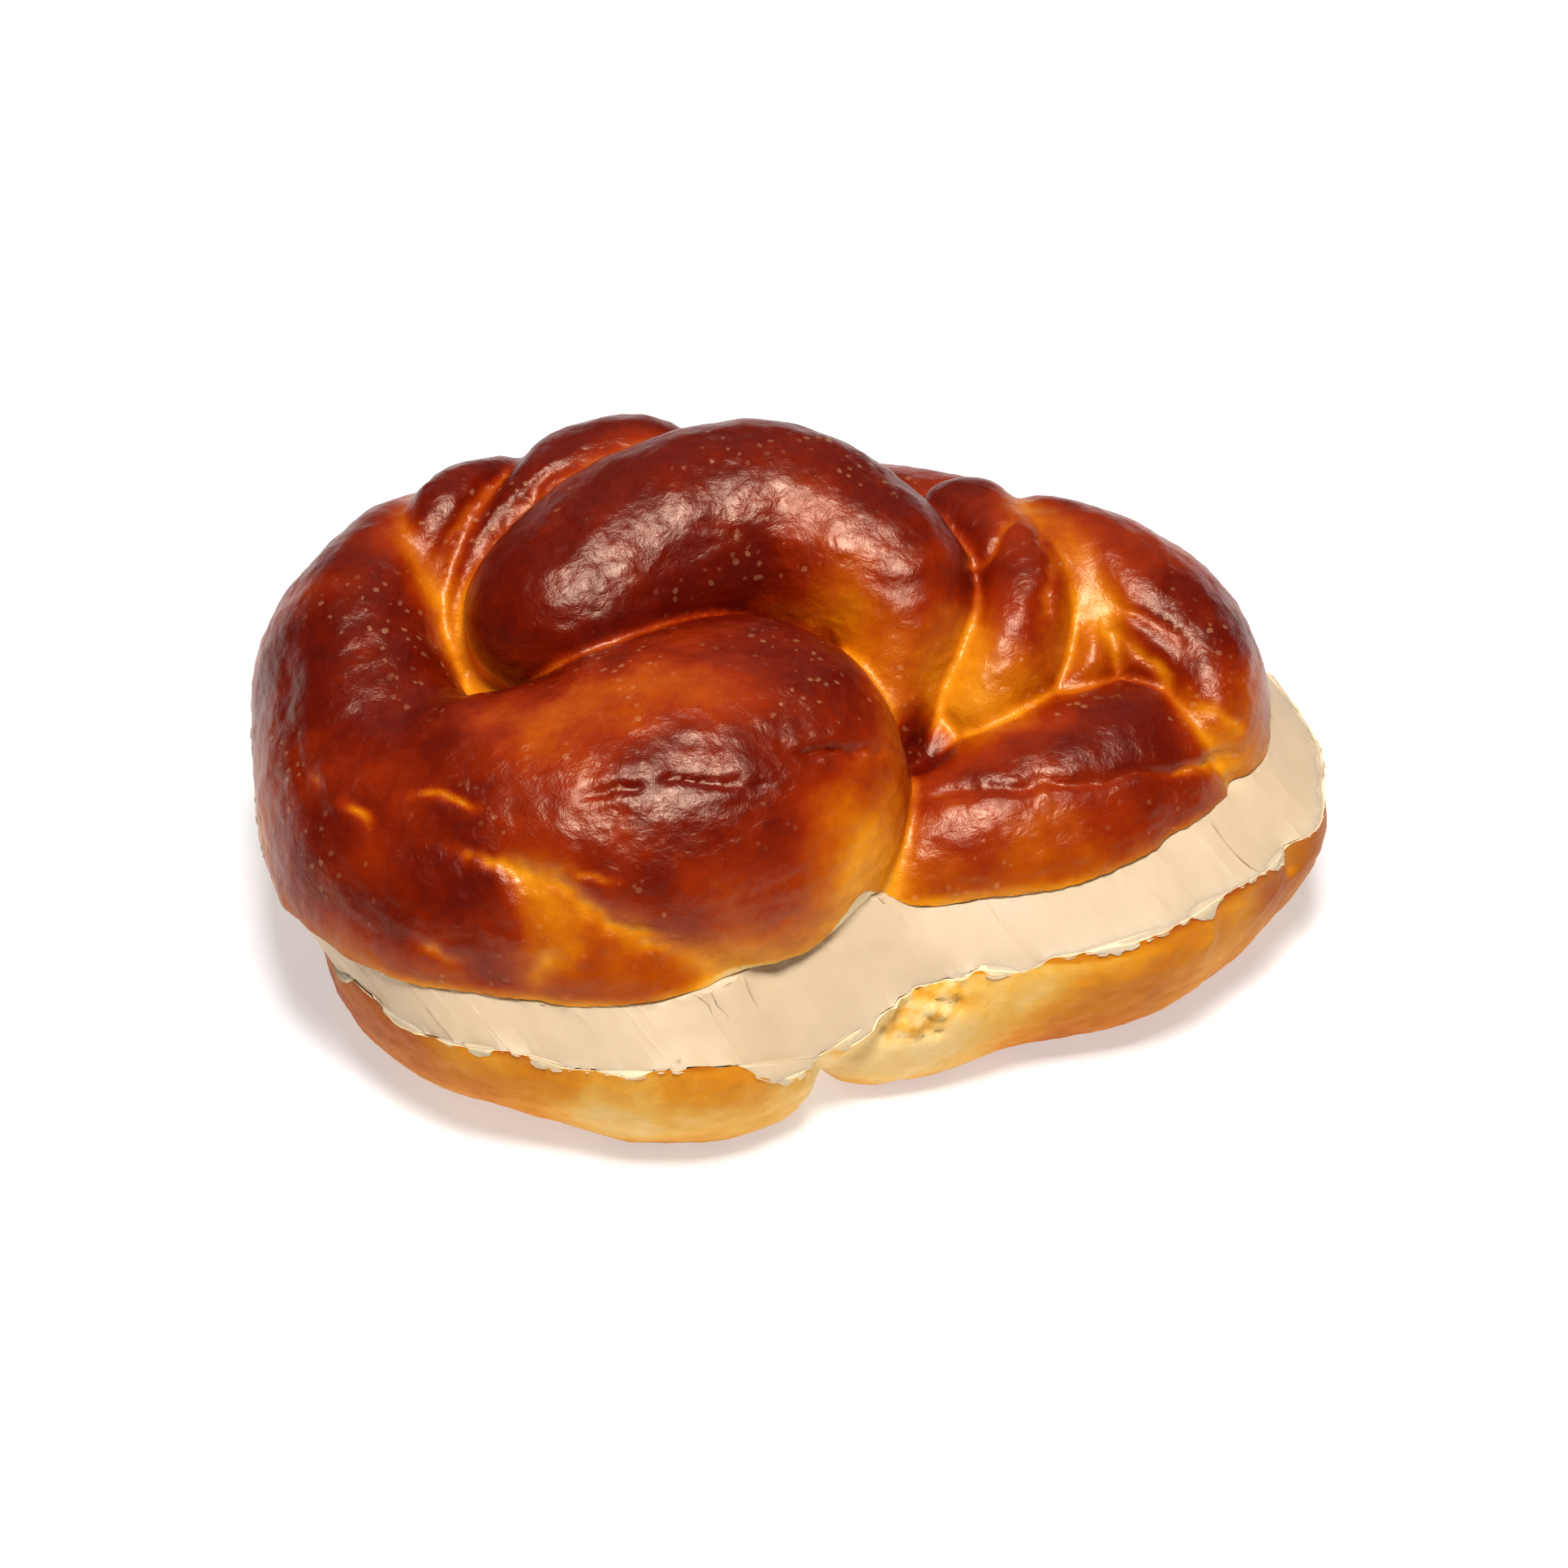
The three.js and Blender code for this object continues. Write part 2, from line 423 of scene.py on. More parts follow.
@dataclass
class BakedRoll:
    """The whole roll as it left the oven, before the knife.

    Attributes:
        knife: The knife, below whose line the crust stayed pale.
        grid: The spacing of the skin's faces.
        base_round: How softly the underside turns up at its rim.
        strands: The strands of the knot.
        marks: The wrinkles and cracks in the skin.
        pale_and_shade_spots: Places that baked paler, each x, y, z, size and amount; below 0 they are
            browner, and the strongest of these, at 22.5, -15, 25, is painted shade in a hole between the
            strands.
        torn_patch: A torn place in the lower crust where crumb shows: x, y, z and size.
    """

    knife: Knife = field(default_factory=Knife)
    grid: float = 0.55
    base_round: float = 1.6
    strands: tuple[Strand, ...] = (
        Strand("left_loop", (
            (-6, 27, 16.5, 10, 14.5), (-20, 25, 18, 11.5, 17), (-31.5, 19, 19.5, 11.5, 18),
            (-39.5, 11.5, 19.5, 12, 19.5), (-44.5, 1, 18.5, 13.5, 20),
            (-43, -12, 17, 14.5, 19.5), (-36, -23, 16.5, 15.5, 18.5)),
            tone=0.13, reach=2.0, kin=("great", "under")),
        Strand("shoulder", (
            (-47, -3, 16.5, 10, 18), (-45.5, -16, 15.5, 12, 18), (-40, -27, 15.5, 13.5, 17.5),
            (-31, -34.5, 15, 14, 16.5), (-19, -38.5, 14.5, 13.5, 16)),
            tone=0.06, reach=1.4, kin=("great", "under")),
        Strand("front_lobe", (
            (-41, -15, 17, 14, 19.5), (-30, -24.5, 17.5, 18, 20.5), (-18, -26.5, 18.5, 23, 21.5),
            (-6, -22.5, 19.5, 25, 22.3), (5, -16.5, 19.5, 23, 21.7), (17, -7.5, 18, 15, 19.5)),
            tone=0.05, reach=1.4, kin=("great",)),
        Strand("under_strand", (
            (-33, -33, 15, 12, 17.5), (-22, -38, 15, 12, 18), (-10, -39, 13.5, 12, 16),
            (5, -33.5, 11.5, 9.5, 13.5)), tone=0.07, reach=1.2, kin=("under",)),
        Strand("arch", (
            (20, -14, 17, 4.5, 9), (19.5, -5.5, 23.5, 6.5, 10), (19.5, 4, 30.5, 11, 12.5),
            (6, 13, 34, 13.5, 14), (-8, 10, 34, 14, 14), (-19, 0.5, 31, 13.5, 13.5),
            (-25.5, -8.5, 27, 12, 12.5)),
            tone=0.18, reach=1.8),
        Strand("back_strand", (
            (0, 25, 25, 12, 14.5), (-13, 22.5, 25.5, 12.5, 17.5), (-22.5, 17.5, 24.5, 11.5, 17),
            (-30, 10, 22, 9.5, 14.5), (-31.5, -1, 17, 7.5, 12)), tone=0.26, reach=1.5),
        Strand("back_fold", (
            (-18, 24.5, 24, 9, 15), (-28, 20, 23.5, 9.5, 16.5), (-35, 14.5, 24, 8.5, 16.5),
            (-37.5, 6, 18.5, 6, 13)), tone=0.22, reach=1.2),
        Strand("belly", (
            (-24, 18, 14.5, 12, 16.5), (0, 26, 15, 14, 17), (22, 24, 15.5, 14, 17.5),
            (38, 16, 16, 14, 18)), reach=2.5),
        Strand("right_loop", (
            (24, 17, 17, 13, 19), (38, 13.5, 17.5, 14, 20), (50, 7, 16.5, 14.5, 18.5),
            (57, -3, 14.5, 9, 16), (56, -14, 11.5, 7.5, 12.5)), tone=0.09, reach=2.2),
        Strand("right_leaf", (
            (0, -33, 6, 8, 8), (12, -29, 9.5, 11, 11.5), (24, -24, 12, 12, 14),
            (35, -19, 13, 15.5, 15.5), (47, -12, 13.5, 15, 15.5), (61, -11, 11, 9, 12)),
            tone=0.14, reach=1.5),
        Strand("sliver", (
            (34, 18.5, 28.5, 5.5, 10.5), (42, 9, 26.5, 5, 9.5), (43.5, -1, 22, 4.5, 8.5),
            (38, -9, 16, 4.5, 8)),
            tone=0.02, reach=1.4),
        Strand("twist", (
            (29, -9, 16.5, 7.5, 9.5), (33, -2, 24, 8, 10), (35.5, 6, 28, 7.5, 10), (32, 14, 28.5, 9, 10),
            (23, 21, 26.5, 10, 11.5)), tone=0.08, reach=1.7),
        Strand("heart", (
            (-38, -2, 13, 16, 15), (-12, 0, 14, 24, 16), (18, -4, 13, 20, 14),
            (44, 0, 12, 14, 14)), tone=-0.4, reach=4.0),
    )
    marks: tuple[Mark, ...] = (
        Mark(((22.5, -24, 25), (34, -24, 27), (45, -22, 26.5), (52, -19, 25), (62, -13, 21.5)),
             0.9, 0.7, 0.15),
        Mark(((52, -19, 25), (57, -16, 23.5), (62, -12.5, 22)), 0.8, 0.3, 0.7),
        Mark(((7, -30, 38), (11.5, -29, 37), (15.5, -27, 35.5), (19, -24.5, 33)), 0.8, 1.0, 0.0),
        Mark(((-17, -37, 38), (-11, -36.7, 38.5), (-4.5, -35, 38.5), (0, -35.5, 38), (6, -34.5, 36.5)),
             0.7, 0.6, 0.0),
        Mark(((-14, -31, 40.5), (-8, -30, 41), (-2, -31, 40.5)), 0.8, 0.15, 0.0),
        Mark(((-32, -39, 31.5), (-29, -41.5, 31.5), (-24, -43, 31), (-19, -44.5, 30), (-15, -46, 27),
              (-11, -47.5, 25), (-6, -47.5, 23)), 0.9, 0.5, 0.9),
        Mark(((-20.5, -44, 31), (-16.5, -43.5, 31.5), (-12.5, -45, 31)), 0.6, 0.3, 0.6),
        Mark(((-36.5, -32.5, 33.5), (-33, -33.5, 34.5), (-29, -35.5, 35)), 0.6, 0.3, 0.9),
        Mark(((-45.5, -31, 31), (-44, -32.5, 31), (-42.5, -34, 31)), 0.6, 0.2, 0.9),
        Mark(((-50, -25, 30.5), (-49, -27, 30.5)), 0.6, 0.2, 0.8),
        Mark(((-22.5, -52, 20), (-21, -51, 23), (-19, -50.5, 24)), 1.3, 0.7, 1.0),
        Mark(((-37.5, -48, 23.5), (-34.5, -49.5, 22.5), (-31.5, -50, 21)), 0.8, 0.4, 0.7),
        Mark(((43.5, 1, 31.5), (47, -1, 30.5), (51, -4.5, 29), (54, -7.5, 27)), 0.9, 0.5, 0.8),
        Mark(((46, 5, 32.5), (48, 1.5, 33), (51.5, -1.5, 32), (55.5, -4, 31)), 0.9, 0.5, 0.35),
        Mark(((55, -9, 28), (59, -11.5, 27), (62, -12, 24)), 0.9, 0.4, 0.8),
        Mark(((-26, 20, 39), (-29.5, 17, 39), (-33.5, 12, 37.5), (-35, 8.5, 35.5)), 0.8, 0.6, 0.4),
        Mark(((-17, 20, 41), (-23.5, 14.5, 41), (-27, 11, 38.5), (-30.5, 7, 35.5)), 0.9, 0.6, 0.25),
        Mark(((28.5, 3.5, 37.5), (32.5, 9, 39), (34.5, 14.5, 39.5)), 0.7, 0.6, 0.4),
        Mark(((36, -2, 33), (38.5, 5, 37), (37.5, 12, 39)), 0.8, 0.5, 0.3),
        Mark(((21.5, -13.5, 27), (24, -16.5, 24)), 2.0, 2.2, 0.0),
        Mark(((-52, -6, 32), (-52.5, -14, 31), (-51, -23, 30), (-48, -32, 29)), 1.6, 0.4, 0.0),
    )
    pale_and_shade_spots: tuple[tuple[float, float, float, float, float], ...] = (
        (23, -6, 30, 11, 0.30), (-32, 1, 29, 8, 0.40), (33, -6, 25, 8, 0.12), (45, 2, 30, 8, 0.14),
        (16, -3, 38, 9, 0.28), (17, -18, 36, 10, 0.10), (-22, -24, 40, 12, 0.08), (26, -38, 18, 12, 0.16),
        (39, -34, 20, 12, 0.24), (38, -30, 6, 16, -0.12), (12, -34, 20, 12, 0.16), (30, -32, 18, 12, 0.10),
        (-20, -50, 22, 9, 0.04), (-33, -16, 38, 10, -0.10), (6, -38, 5, 10, 0.14), (57, -8, 22, 7, 0.12),
        # The spot at 22.5, -15, 25 with -0.9 is painted shade: it darkens the deep hole between the strands
        # at the arch's lower end.
        (14.5, -35, 24, 5, 0.25), (22.5, -15, 25, 4.5, -0.9), (-11, -45, 21, 9, -0.12),
    )
    torn_patch: tuple[float, float, float, float] = (15.0, -36.5, 14.5, 5.5)

    GROWING_ROUNDS = 6  # smoothing of the whole grown skin
    MERGING_ROUNDS = 170  # smoothing where strands ran into each other
    CREASING_ROUNDS = 20  # smoothing at the bottom of the creases
    BLENDING = 1.2  # how gradually one strand's tone gives way to the next one's
    SWAY = 1.0  # how far the marks waver
    CRACK_LEVEL = 0.30  # how brown the dough in a crack is
    UPPER_FROM = 18  # above this height the crust hardly gets paler than PALEST_UPPER
    PALEST_UPPER = 0.36
    BROWNEST = 0.8  # browner places are eased into BROWN_ROOM above it
    BROWN_ROOM = 0.09

    def skin(self) -> bpy.types.Mesh:
        """Grows the strands together and sculpts the skin.

        Returns:
            The closed skin in the roll's frame, with the layer bake.
        """
        shape = bmesh.new()
        for strand in self.strands:
            strand.lay_in(shape)
        mesh = grown_together(shape, self.grid, self.GROWING_ROUNDS)
        seams = self.seams(read_points(mesh))
        points = relaxed(mesh, read_points(mesh), seams.merged, self.MERGING_ROUNDS)
        tucked = 0.8 * np.exp(-((seams.apart / 1.3) ** 2))
        points = relaxed(mesh, points, tucked, self.CREASING_ROUNDS)
        write_points(mesh, points)
        normals = read_normals(mesh)
        shape = bmesh.new()
        shape.from_mesh(mesh)
        tree = BVHTree.FromBMesh(shape)
        shape.free()

        level = self.paled(points, self.browning_and_shade(points, normals, seams.tone), seams)
        rise = self.swelling(points, seams)
        self.mark_in(tree, points, rise, level)
        self.tear_in(points, rise, level)
        write_points(mesh, self.settled(points + normals * rise[:, None]))
        over = np.maximum(level - self.BROWNEST, 0.0) / self.BROWN_ROOM
        level = np.where(over > 0, self.BROWNEST + self.BROWN_ROOM * np.tanh(over), level)
        # The layer holds how brown each place baked, with the painted shade of one hole.
        write_layer(mesh, "bake_and_shade", np.maximum(level, 0.0))
        return mesh

    def seams(self, points: Points) -> Seams:
        """Works out how the strands meet.

        Args:
            points: Places on the grown skin, in millimetres.

        Returns:
            How the strands meet at each point.
        """
        gaps = np.array([strand.nearness(points) for strand in self.strands])
        owner = gaps.argmin(axis=0)
        kin = np.array([[a is b or bool(set(a.kin) & set(b.kin)) for b in self.strands]
                        for a in self.strands])
        other = np.arange(len(self.strands))[:, None] != owner
        apart = np.where(kin[:, owner], Strand.FAR, gaps).min(axis=0) - gaps.min(axis=0)
        next_kin = np.where(kin[:, owner] & other, gaps, Strand.FAR).min(axis=0)
        low_end = smooth_step(15, 9, points[:, 2]) * smooth_step(22, 32, points[:, 0])
        merged = np.maximum(smooth_step(8.0, 2.5, next_kin) * smooth_step(0.5, 3.5, apart), low_end)
        crease = np.maximum(apart, 0) + Strand.FAR * low_end + 4.0 * smooth_step(4.0, 0.5, next_kin)
        shares = np.exp(-(gaps - gaps.min(axis=0)) / self.BLENDING)
        shares /= shares.sum(axis=0)
        tone = shares.T @ np.array([strand.tone for strand in self.strands])
        reach = shares.T @ np.array([strand.reach for strand in self.strands])
        return Seams(apart, merged, crease, tone, reach)

    def swelling(self, points: Points, seams: Seams) -> Points:
        """Says how far the skin swells, or sinks into its creases.

        Args:
            points: Places on the skin, in millimetres.
            seams: How the strands meet there.

        Returns:
            How far each point rises along the skin's outward direction.
        """
        rise = grain(points, 24, 1.0) * 0.6 + grain(points, 8, 2.0) * 0.28
        rise += grain(points * (1.0, 1.0, 1.6), 2.6, 3.0, 3) * 0.14
        rise -= np.maximum(rise, 0) * np.exp(-seams.crease / 1.5)
        return rise - 0.8 * np.exp(-((seams.crease / 1.1) ** 2))

    def paled(self, points: Points, level: Points, seams: Seams) -> Points:
        """Lets the pale dough show beside the creases.

        Args:
            points: Places on the skin, in millimetres.
            level: How brown each place baked.
            seams: How the strands meet there.

        Returns:
            The paled bake level at each point.
        """
        level = level - (0.22 + 0.14 * grain(points, 9, 8.0)) * np.exp(-seams.crease / seams.reach)
        level -= 0.10 * np.exp(-((seams.crease / 0.9) ** 2))
        pale = (level < self.PALEST_UPPER) & (points[:, 2] > self.UPPER_FROM)
        level[pale] = self.PALEST_UPPER - 0.25 * (self.PALEST_UPPER - level[pale])
        return level

    def mark_in(self, tree: BVHTree, points: Points, rise: Points, level: Points) -> None:
        """Presses the wrinkles and cracks in.

        Args:
            tree: The skin.
            points: Its places, in millimetres.
            rise: How far each point rises, which is changed.
            level: The bake level at each point, which is changed.
        """
        sway = np.stack([grain(points, 3.5, seed) for seed in (31.0, 32.0, 33.0)], axis=1)
        for mark in self.marks:
            near = mark.closeness(points + self.SWAY * sway, mark.laid_on(tree))
            rise -= mark.depth * near
            level += (self.CRACK_LEVEL - level) * mark.gold * near

    def tear_in(self, points: Points, rise: Points, level: Points) -> None:
        """Tears the patch of crumb open.

        Args:
            points: Places on the skin, in millimetres.
            rise: How far each point rises, which is changed.
            level: The bake level at each point, which is changed.
        """
        x, y, z, size = self.torn_patch
        away = np.linalg.norm(points - (x, y, z), axis=1) / size + 0.4 * grain(points, 4.0, 15.0)
        torn = smooth_step(1.0, 0.75, away)
        rise -= torn * (0.5 + 0.8 * grain(points, 1.5, 16.0, 3))
        level += (0.08 + 0.22 * grain(points, 1.7, 17.0, 3) - level) * torn

    def browning_and_shade(self, points: Points, normals: Points, tones: Points) -> Points:
        """Says how brown each place baked, before the creases and cracks, with painted shade in one hole
        between the strands.

        Args:
            points: Places in millimetres.
            normals: The skin's outward directions there.
            tones: How much browner each place's strand is than the roll.

        Returns:
            The bake level at each point, about 0 to 1.
        """
        above = points[:, 2] - self.knife.level(points)
        upper = 0.67 + tones + 0.14 * smooth_step(-0.1, 0.9, normals[:, 2])
        upper += 0.32 * grain(points, 20, 4.0, 3) - 0.05 * smooth_step(0, 45, points[:, 0])
        upper -= 0.22 * smooth_step(0.35, -0.3, normals[:, 2]) + 0.10 * np.exp(-np.maximum(above, 0) / 3.5)
        lower = 0.19 + 0.12 * smooth_step(-12, -2, above) + 0.17 * grain(points, 14, 6.0, 4)
        lower += 0.24 * smooth_step(-30, -56, points[:, 0]) + 0.18 * smooth_step(16, 34, points[:, 0])
        sole = smooth_step(2.2, 0.8, points[:, 2])
        lower += (0.42 + 0.1 * grain(points, 9, 7.0) - lower) * sole
        level = lower + (upper - lower) * smooth_step(-0.3, 2.0, above)
        # Below 0 a spot browns the dough; the spot at 22.5, -15, 25 is painted shade in a hole.
        for x, y, z, size, amount in self.pale_and_shade_spots:
            level -= amount * np.exp(-((np.linalg.norm(points - (x, y, z), axis=1) / size) ** 2))
        return level

    def settled(self, points: Points) -> Points:
        """Presses the underside flat on the baking tray, with a soft edge."""
        flat = points.copy()
        height = points[:, 2]
        flat[:, 2] = np.maximum(0.5 * (height + np.sqrt(height**2 + self.base_round**2)) - 0.35, 0)
        return flat


# ------------------------------------------------------------------------------- the pieces
@dataclass
class CutRoll:
    """The baked roll under the knife.

    Attributes:
        skin: The roll's closed skin, in the roll's frame.
        knife: The cut through it.
    """

    skin: bpy.types.Mesh
    knife: Knife

    def parted(
            self, edge: TornEdge, keep_upper: bool) -> tuple[bmesh.types.BMesh, list[bmesh.types.BMFace]]:
        """Cuts the roll along a torn edge and closes the cut.

        Args:
            edge: How the cut strays from the knife's plane.
            keep_upper: True to keep what lies above the cut, False for what lies below.

        Returns:
            The kept part as a closed bmesh, and the faces of its cut.
        """
        shape = bmesh.new()
        shape.from_mesh(self.skin)
        self.lift(shape, edge, 1.0)
        cut = bmesh.ops.bisect_plane(
            shape, geom=shape.verts[:] + shape.edges[:] + shape.faces[:], dist=1e-6,
            plane_co=Vector((0, 0, self.knife.height)) * MM, plane_no=self.knife.normal(),
            clear_outer=not keep_upper, clear_inner=keep_upper)
        rim = [item for item in cut["geom_cut"] if isinstance(item, bmesh.types.BMEdge)]
        filled = bmesh.ops.triangle_fill(shape, edges=rim, use_beauty=True, normal=self.knife.normal())
        faces = [item for item in filled["geom"] if isinstance(item, bmesh.types.BMFace)]
        self.lift(shape, edge, -1.0)
        return shape, faces

    def lift(self, shape: bmesh.types.BMesh, edge: TornEdge, share: float) -> None:
        """Raises a bmesh's vertices by an edge's stray, or lowers them with a share below 0."""
        stray = edge.stray(np.array([vert.co for vert in shape.verts]) / MM) * share
        for vert, rise in zip(shape.verts, stray):
            vert.co.z += rise * MM


@dataclass
class Piece:
    """One finished piece of the roll.

    Attributes:
        name: The piece's name.
        node: The part's node that it replaces.
        slot: The record's material slot that it wears; not used.
    """

    name: str
    node: str
    slot: str

    SHARP_FROM = 55.0

    def placed(self, mesh: bpy.types.Mesh, shift: Points) -> bpy.types.Object:
        """Puts a mesh in the scene as this piece.

        Args:
            mesh: The piece's mesh in the roll's frame.
            shift: How far it is moved, in millimetres.

        Returns:
            The piece, shaded smooth with sharp cut edges.
        """
        write_points(mesh, read_points(mesh) + shift)
        mesh.name = self.name
        mesh.polygons.foreach_set("use_smooth", np.ones(len(mesh.polygons), dtype=bool))
        mesh.set_sharp_from_angle(angle=math.radians(self.SHARP_FROM))
        piece = as_object(self.name, mesh)
        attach(piece, "root")
        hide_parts(self.node)
        LOG.info("%s: %d faces", self.name, len(mesh.polygons))
        return piece


@dataclass
class Half(Piece):
    """One half of the cut roll.

    Attributes:
        keep_upper: True for the upper half, False for the lower.
    """

    keep_upper: bool

    def build(self, roll: CutRoll, centre: Points) -> bpy.types.Object:
        """Makes the half and puts it in its place.

        Args:
            roll: The roll under the knife.
            centre: The roll frame's origin in the scene, in millimetres.

        Returns:
            The half, its cut face in material slot 1, without its materials.
        """
        edge = roll.knife.upper_edge if self.keep_upper else roll.knife.lower_edge
        shape, cut_faces = roll.parted(edge, self.keep_upper)
        for face in cut_faces:
            face.material_index = 1
        bmesh.ops.recalc_face_normals(shape, faces=shape.faces[:])
        mesh = bpy.data.meshes.new(self.name)
        shape.to_mesh(mesh)
        shape.free()
        slide = np.array(roll.knife.slide) if self.keep_upper else np.zeros(3)
        return self.placed(mesh, centre + slide)


@dataclass
class CreamFilling(Piece):
    """The cream spread between the halves, out to the crust's torn edge.

    Attributes:
        inset: How far the cream's wall stands back from the crust.
        rings: How many steps its wall is drawn out in.
        rounds: How often the wall is smoothed.
        longest: Longer edges don't pull on the wall, so the faces inside the rim leave it alone.
        bulge: How far the wall may swell out.
        weld: Rim points nearer than this are joined.
    """

    inset: float = 0.3
    rings: int = 12
    rounds: int = 160
    longest: float = 1.7
    bulge: float = 0.15
    weld: float = 0.15

    def build(self, roll: CutRoll, centre: Points) -> bpy.types.Object:
        """Draws the cream out from the lower cut face to the upper one.

        Args:
            roll: The roll under the knife.
            centre: The roll frame's origin in the scene, in millimetres.

        Returns:
            The cream, without its material.
        """
        shape, faces = roll.parted(roll.knife.lower_edge, keep_upper=False)
        spread = set(faces)
        bmesh.ops.delete(shape, geom=[face for face in shape.faces if face not in spread], context="FACES")
        bmesh.ops.remove_doubles(shape, verts=shape.verts[:], dist=self.weld * MM)
        faces = shape.faces[:]
        slide = np.array(roll.knife.slide)
        layer = shape.verts.layers.float.new("ring")
        for ring in range(self.rings):
            raised = bmesh.ops.extrude_face_region(shape, geom=faces)["geom"]
            if ring:
                bmesh.ops.delete(shape, geom=faces, context="FACES_ONLY")
            faces = [item for item in raised if isinstance(item, bmesh.types.BMFace)]
            verts = [item for item in raised if isinstance(item, bmesh.types.BMVert)]
            places = np.array([vert.co for vert in verts]) / MM - slide * ring / self.rings
            strays = roll.knife.lower_edge.stray(places) - roll.knife.upper_edge.stray(places)
            for vert, stray in zip(verts, strays):
                vert.co += Vector(slide + (0, 0, stray)) * MM / self.rings
                vert[layer] = ring + 1
        bmesh.ops.recalc_face_normals(shape, faces=shape.faces[:])
        mesh = bpy.data.meshes.new(self.name)
        shape.to_mesh(mesh)
        shape.free()
        height = np.empty(len(mesh.vertices), dtype=np.float32)
        mesh.attributes["ring"].data.foreach_get("value", height)
        free = smooth_step(0, 2, height) * smooth_step(self.rings, self.rings - 2, height)
        points = relaxed(mesh, read_points(mesh), free, self.rounds, self.longest)
        write_points(mesh, points)
        rise = 0.35 * grain(points, 12, 21.0) + 0.10 * grain(points, 3.0, 22.0, 2) - self.inset
        write_points(mesh, points + read_normals(mesh) * np.minimum(rise, self.bulge)[:, None])
        return self.placed(mesh, centre)


# ------------------------------------------------------------------------------- finishes
class Wire:
    """Places and joins the nodes of one node tree."""

    def __init__(self, tree: bpy.types.NodeTree) -> None:
        """Starts on a tree."""
        self.tree = tree

    def node(self, kind: str, **settings: object) -> bpy.types.Node:
        """Adds a node.

        Args:
            kind: The node's type without its ShaderNode start.
            settings: Properties, or inputs where the name is an input's with _ for spaces.

        Returns:
            The new node.
        """
        made = self.tree.nodes.new("ShaderNode" + kind)
        for key, value in settings.items():
            label = key.replace("_", " ")
            if hasattr(made, key):
                setattr(made, key, value)
            elif isinstance(value, Socket):
                self.join(value, made.inputs[label])
            else:
                made.inputs[label].default_value = value
        return made

    def join(self, source: Socket, target: Socket) -> None:
        """Links two sockets."""
        self.tree.links.new(source, target)

    def math(
            self, operation: str, first: Socket | float, second: Socket | float,
            clamp: bool = False) -> Socket:
        """Adds a maths node on sockets or numbers and returns its result."""
        made = self.tree.nodes.new("ShaderNodeMath")
        made.operation = operation
        made.use_clamp = clamp
        for socket, value in zip(made.inputs, (first, second)):
            if isinstance(value, Socket):
                self.join(value, socket)
            else:
                socket.default_value = value
        return made.outputs[0]

    def ramp(self, share: Socket, stops: tuple[tuple[float, Colour], ...]) -> Socket:
        """Adds a colour ramp and returns its colour."""
        made = self.tree.nodes.new("ShaderNodeValToRGB")
        while len(made.color_ramp.elements) < len(stops):
            made.color_ramp.elements.new(0.5)
        for element, (place, colour) in zip(made.color_ramp.elements, stops):
            element.position = place
            element.color = (*colour, 1.0)
        self.join(share, made.inputs[0])
        return made.outputs[0]

    def blend(self, share: Socket, low: Socket | Colour, high: Colour) -> Socket:
        """Mixes two colours and returns the mix."""
        made = self.tree.nodes.new("ShaderNodeMix")
        made.data_type = "RGBA"
        for socket, value in zip((made.inputs[0], made.inputs[6], made.inputs[7]), (share, low, high)):
            if isinstance(value, Socket):
                self.join(value, socket)
            else:
                socket.default_value = (*value, 1.0)
        return made.outputs[2]


def group_tree(
        name: str, given: str, results: tuple[str, ...],
) -> tuple[bpy.types.NodeTree, bpy.types.Node, bpy.types.Node]:
    """Starts a shared node group of numbers.

    Args:
        name: The group's name.
        given: The name of its input, which starts at 1.
        results: The names of its outputs.

    Returns:
        The tree, its input node and its output node.
    """
    tree = bpy.data.node_groups.new(name, "ShaderNodeTree")
    tree.interface.new_socket(name=given, in_out="INPUT", socket_type="NodeSocketFloat").default_value = 1.0
    for label in results:
        tree.interface.new_socket(name=label, in_out="OUTPUT", socket_type="NodeSocketFloat")
    return tree, tree.nodes.new("NodeGroupInput"), tree.nodes.new("NodeGroupOutput")


def baked_skin_group() -> bpy.types.NodeTree:
    """Builds the group that gives fine skin: mottling, blisters and leathery relief."""
    tree, given, result = group_tree("baked_skin", "Blisters", ("Mottle", "Spots", "Relief"))
    wire = Wire(tree)
    place = wire.node("TexCoord").outputs["Object"]
    broad = wire.node("TexNoise", Vector=place, Scale=190.0, Detail=4.0, Roughness=0.6)
    fine = wire.node("TexNoise", Vector=place, Scale=700.0, Detail=3.0, Roughness=0.6)
    mottle = wire.math(
        "ADD", wire.math("MULTIPLY", broad.outputs[0], 0.7), wire.math("MULTIPLY", fine.outputs[0], 0.3))
    cells = wire.node("TexVoronoi", Vector=place, Scale=620.0, Randomness=1.0)
    patches = wire.node("TexNoise", Vector=place, Scale=75.0, Detail=2.0)
    gate = wire.node("MapRange", Value=patches.outputs[0], From_Min=0.5, From_Max=0.62)
    swelling = wire.math("MULTIPLY", wire.math("SUBTRACT", fine.outputs[0], 0.35), 0.9)
    size = wire.node("MapRange", Value=wire.math("SUBTRACT", cells.outputs["Distance"], swelling),
                     From_Min=0.10, From_Max=-0.02)
    gated = wire.math("MULTIPLY", size.outputs[0], gate.outputs[0])
    spots = wire.math("MULTIPLY", gated, given.outputs["Blisters"])
    folds = wire.node("TexNoise", Vector=place, Scale=560.0, Detail=5.0, Roughness=0.62, Distortion=0.6)
    relief = wire.math(
        "ADD", wire.math("MULTIPLY", folds.outputs[0], 0.8), wire.math("MULTIPLY", spots, 0.35))
    wire.join(mottle, result.inputs["Mottle"])
    wire.join(spots, result.inputs["Spots"])
    wire.join(relief, result.inputs["Relief"])
    return tree


